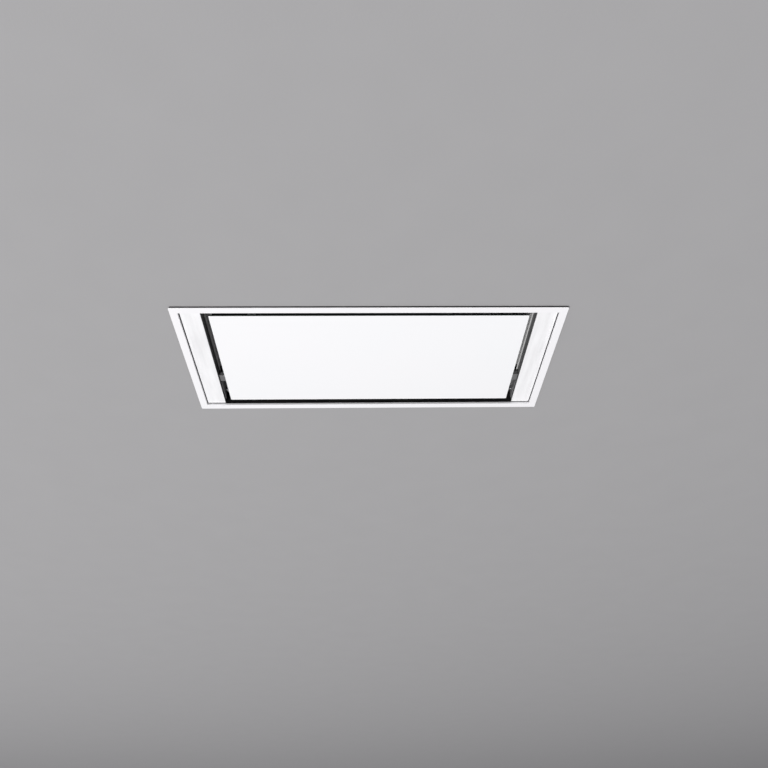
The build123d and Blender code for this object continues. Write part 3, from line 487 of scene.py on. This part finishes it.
def turned(name, profile, places, normal, material, segments=24):
    """Copies of one turned head as a single mesh, each standing on its place along the normal.

    Point (k, i, j) = p_k + r_i g_i(t_j) (u cos t_j + v sin t_j) + h_i n, with t_j = 2 pi j / segments.
    A row (r, h, sides) has g = 1 where sides is 0, and else
    g(t) = cos(pi/s) / cos((t mod 2 pi/s) - pi/s), which turns the circle into an s-sided figure.
    Sizes of the profile are in millimetres.
    """
    axis = np.array(normal, float)
    u = np.cross(axis, (0, 0, 1)) if abs(axis[2]) < 0.9 else np.cross(axis, (0, 1, 0))
    v = np.cross(axis, u)
    angle = np.arange(segments) * 2 * np.pi / segments
    rows = []
    for radius, height, sides in profile:
        factor = np.ones(segments)
        if sides:
            factor = np.cos(np.pi / sides) / np.cos(angle % (2 * np.pi / sides) - np.pi / sides)
        circle = np.cos(angle)[:, None] * u + np.sin(angle)[:, None] * v
        rows.append(0.001 * (radius * factor[:, None] * circle + height * axis))
    head = np.vstack(rows)
    points = (np.array(places, float)[:, None, :] + head[None, :, :]).reshape(-1, 3)
    faces = []
    for k in range(len(places)):
        base = k * len(head)
        for i in range(len(profile) - 1):
            low = base + i * segments
            high = low + segments
            for j in range(segments):
                after = (j + 1) % segments
                faces.append((low + j, low + after, high + after, high + j))
        top = base + (len(profile) - 1) * segments
        faces.append(tuple(range(top, top + segments)))
        faces.append(tuple(range(base + segments - 1, base - 1, -1)))
    piece = new_piece(name, points, faces, material)
    piece.data.set_sharp_from_angle(angle=math.radians(35))
    return piece


rivet_profile = (
    (2.4, 0, 0),
    (2.3, 0.35, 0),
    (1.9, 0.7, 0),
    (1.3, 0.9, 0),
    (0.9, 0.92, 0),
    (0.8, 0.5, 0),
    (0.1, 0.45, 0),
)
rivet_inset = 0.006
for place in ("left", "centre", "right"):
    dress(stainless, *(f"filter_{piece}_{place}" for piece in ("frame", "baffles", "latch")))
    corner_low, corner_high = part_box(f"filter_frame_{place}")
    underside = corner_low.z
    rivets = turned(
        f"filter_rivets_{place}",
        rivet_profile,
        [
            (x, y, underside)
            for x in (corner_low.x + rivet_inset, corner_high.x - rivet_inset)
            for y in (corner_low.y + rivet_inset, corner_high.y - rivet_inset)
        ],
        (0, 0, -1),
        stainless,
    )
    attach(rivets, f"filter_{place}")

# The suction box, the rails, the scroll, the duct, the collar and the impeller are galvanised
# sheet: ragged crystals of zinc with feathered edges, each with its own shade and gloss.
galvanised, shader = new_finish("galvanised_sheet", Metallic=0.85)
raggedness = 0.016
ragged = shader.node(
    "ShaderNodeTexNoise",
    inputs={"Vector": shader.places(), "Scale": 170.0, "Detail": 3.0},
    output="Color",
)
bent = shader.node(
    "ShaderNodeVectorMath",
    {"operation": "MULTIPLY_ADD"},
    {0: ragged, 1: (raggedness,) * 3, 2: shader.places()},
)
spangle = []
for scale in (70.0, 210.0):
    pattern = shader.node(
        "ShaderNodeTexVoronoi", inputs={"Vector": bent, "Scale": scale}, output="Color"
    )
    spangle.append(shader.node("ShaderNodeSeparateColor", inputs={0: pattern}))
crystal, fleck = spangle
smear = shader.noise(5, 4)
shade = 0.45 * crystal + 0.25 * fleck + 0.30 * smear
feed(
    shader,
    Base_Color=shade.mixed((0.37, 0.385, 0.40), (0.70, 0.71, 0.72)),
    Roughness=0.27 + 0.20 * crystal + 0.08 * fleck,
    Normal=(0.3 * crystal + 0.2 * fleck + 0.5 * smear).relief(0.06, 0.0006),
)
dress(
    galvanised,
    "suction_box_front",
    "suction_box_rear",
    "suction_box_left",
    "suction_box_right",
    "suction_box_lid",
    "hanger_rail_left",
    "hanger_rail_right",
    "scroll_wall",
    "scroll_bottom_plate",
    "scroll_top_plate",
    "outlet_duct",
    "outlet_collar",
    "impeller",
)

# The box is closed with plated hexagon-head screws that cut their own thread: a row round the
# lid, a row round the flange on the deck, and four larger ones over the blower's rubber mounts.
screw_profile = (
    (4.4, 0, 0),
    (4.4, 0.5, 0),
    (3.7, 0.9, 0),
    (3.2, 0.9, 6),
    (3.2, 2.7, 6),
    (2.9, 3.0, 6),
    (2.0, 3.0, 0),
    (1.6, 2.7, 0),
    (0.1, 2.6, 0),
)
box_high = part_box("suction_box_lid")[1]
lid_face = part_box("hanger_rail_left")[0].z
box_sheet = 0.0012
flange_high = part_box("suction_box_front")[0].z + box_sheet
screw_inset = 0.007
flange_reach = 0.007
lid_row = [-0.47, -0.30, -0.18, -0.06, 0.06, 0.18, 0.30, 0.47]
lid_column = [-0.11, 0.0, 0.11]
flange_row = np.linspace(-0.45, 0.45, 8)
flange_column = [-0.16, 0.0, 0.16]
places = [(x, side * (box_high.y - screw_inset), lid_face) for side in (-1, 1) for x in lid_row]
places += [(side * (box_high.x - screw_inset), y, lid_face) for side in (-1, 1) for y in lid_column]
places += [(x, side * (box_high.y + flange_reach), flange_high) for side in (-1, 1) for x in flange_row]
places += [
    (side * (box_high.x + flange_reach), y, flange_high) for side in (-1, 1) for y in flange_column
]
box_screws = turned("box_screws", screw_profile, places, (0, 0, 1), zinc)
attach(box_screws, "hood")

mount_low, mount_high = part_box("blower_mounts")
mount_size = 0.009
washer_profile = (
    (8, 0, 0),
    (8, 1.0, 0),
    (7.6, 1.3, 0),
    (5.6, 1.3, 6),
    (5.6, 5.4, 6),
    (5.1, 6.0, 6),
    (0.1, 6.0, 0),
)
mount_bolts = turned(
    "mount_bolts",
    washer_profile,
    [
        (x, y, lid_face)
        for x in (mount_low.x + mount_size, mount_high.x - mount_size)
        for y in (mount_low.y + mount_size, mount_high.y - mount_size)
    ],
    (0, 0, 1),
    zinc,
)
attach(mount_bolts, "hood")

# A bead of the same silicone seals the suction box's flange to the deck, all the way round.
deck_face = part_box("filter_deck")[1].z
flange_gap = 0.001
box_bead = hand_laid_bead(
    "box_bead",
    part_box("suction_box_right")[1].x + flange_gap,
    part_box("suction_box_rear")[1].y + flange_gap,
    corner=0.006,
    base_z=deck_face,
    radius=0.0022,
    material=silicone,
    seed=2.0,
)
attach(box_bead, "hood")

# The collar is a round spigot on the box's right end, riveted to it through a flange with eight
# blind rivets.
collar_low, collar_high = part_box("outlet_collar")
collar_y = (collar_low.y + collar_high.y) / 2
collar_z = (collar_low.z + collar_high.z) / 2
rim_inset = 0.004
rivet_step = 45
flange_radius = (collar_high.y - collar_low.y) / 2 - rim_inset
flange_face = collar_low.x + box_sheet
collar_rivets = turned(
    "collar_rivets",
    rivet_profile,
    [
        (flange_face, collar_y + flange_radius * math.cos(a), collar_z + flange_radius * math.sin(a))
        for a in np.radians(np.arange(rivet_step / 2, 360, rivet_step))
    ],
    (1, 0, 0),
    zinc,
)
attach(collar_rivets, "hood")

# The two damper flaps are half discs of mill-finish aluminium sheet. Their ears turn on the
# upright pin across the collar.
mill, shader = new_finish("mill_aluminium", Metallic=1.0)
rolled = shader.noise(40, 3, stretch=(1, 1, 16))
feed(
    shader,
    Base_Color=rolled.mixed((0.62, 0.62, 0.63), (0.76, 0.76, 0.76)),
    Roughness=0.28 + 0.15 * rolled,
    Normal=rolled.relief(0.06, 0.0003),
)
dress(mill, "damper_flap_near", "damper_flap_far")

# The motor's can is cast aluminium, painted dark grey. It hangs under the scroll's top plate, in
# the dish of the impeller.
casting, shader = new_finish("cast_aluminium", Metallic=0.6)
sand = shader.noise(350, 3)
feed(
    shader,
    Base_Color=sand.mixed((0.20, 0.205, 0.21), (0.34, 0.345, 0.35)),
    Roughness=0.45 + 0.2 * sand,
    Normal=sand.relief(0.25, 0.0006),
)
dress(casting, "blower_motor")

# The blower hangs from the lid on four mounts of moulded rubber, which keep its hum out of the
# sheet.
rubber, shader = new_finish("moulded_rubber", Specular_IOR_Level=0.3)
bloom = shader.noise(80, 3)
feed(
    shader,
    Base_Color=bloom.mixed((0.02, 0.02, 0.02), (0.05, 0.05, 0.05)),
    Roughness=0.6 + 0.2 * bloom,
    Normal=bloom.relief(0.1, 0.0003),
)
dress(rubber, "blower_mounts")

# The control box, its lid and its gland are moulded grey plastic with a fine spark texture; the
# bodies of the catches are the same plastic in black.
for name, low, high, members in (
    (
        "grey_plastic",
        (0.27, 0.28, 0.29),
        (0.32, 0.33, 0.34),
        ("control_box", "control_box_lid", "cable_gland"),
    ),
    ("black_plastic", (0.02, 0.02, 0.021), (0.04, 0.04, 0.042), ("catch_bodies",)),
):
    plastic, shader = new_finish(name)
    spark = shader.noise(1300, 1)
    feed(
        shader,
        Base_Color=shader.noise(25, 3).mixed(low, high),
        Roughness=0.45 + 0.2 * spark,
        Normal=spark.relief(0.25, 0.0004),
    )
    dress(plastic, *members)

# Four pan-head screws with a hexagon socket hold the control box's lid, one in each corner.
pan_profile = (
    (3.2, 0, 0),
    (3.1, 0.6, 0),
    (2.6, 1.3, 0),
    (1.6, 1.7, 0),
    (1.5, 1.7, 6),
    (1.4, 0.8, 6),
    (0.1, 0.7, 0),
)
lid_low, lid_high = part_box("control_box_lid")
lid_screw_inset = 0.009
lid_screws = turned(
    "lid_screws",
    pan_profile,
    [
        (lid_low.x, y, z)
        for y in (lid_low.y + lid_screw_inset, lid_high.y - lid_screw_inset)
        for z in (lid_low.z + lid_screw_inset, lid_high.z - lid_screw_inset)
    ],
    (-1, 0, 0),
    zinc,
)
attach(lid_screws, "hood")
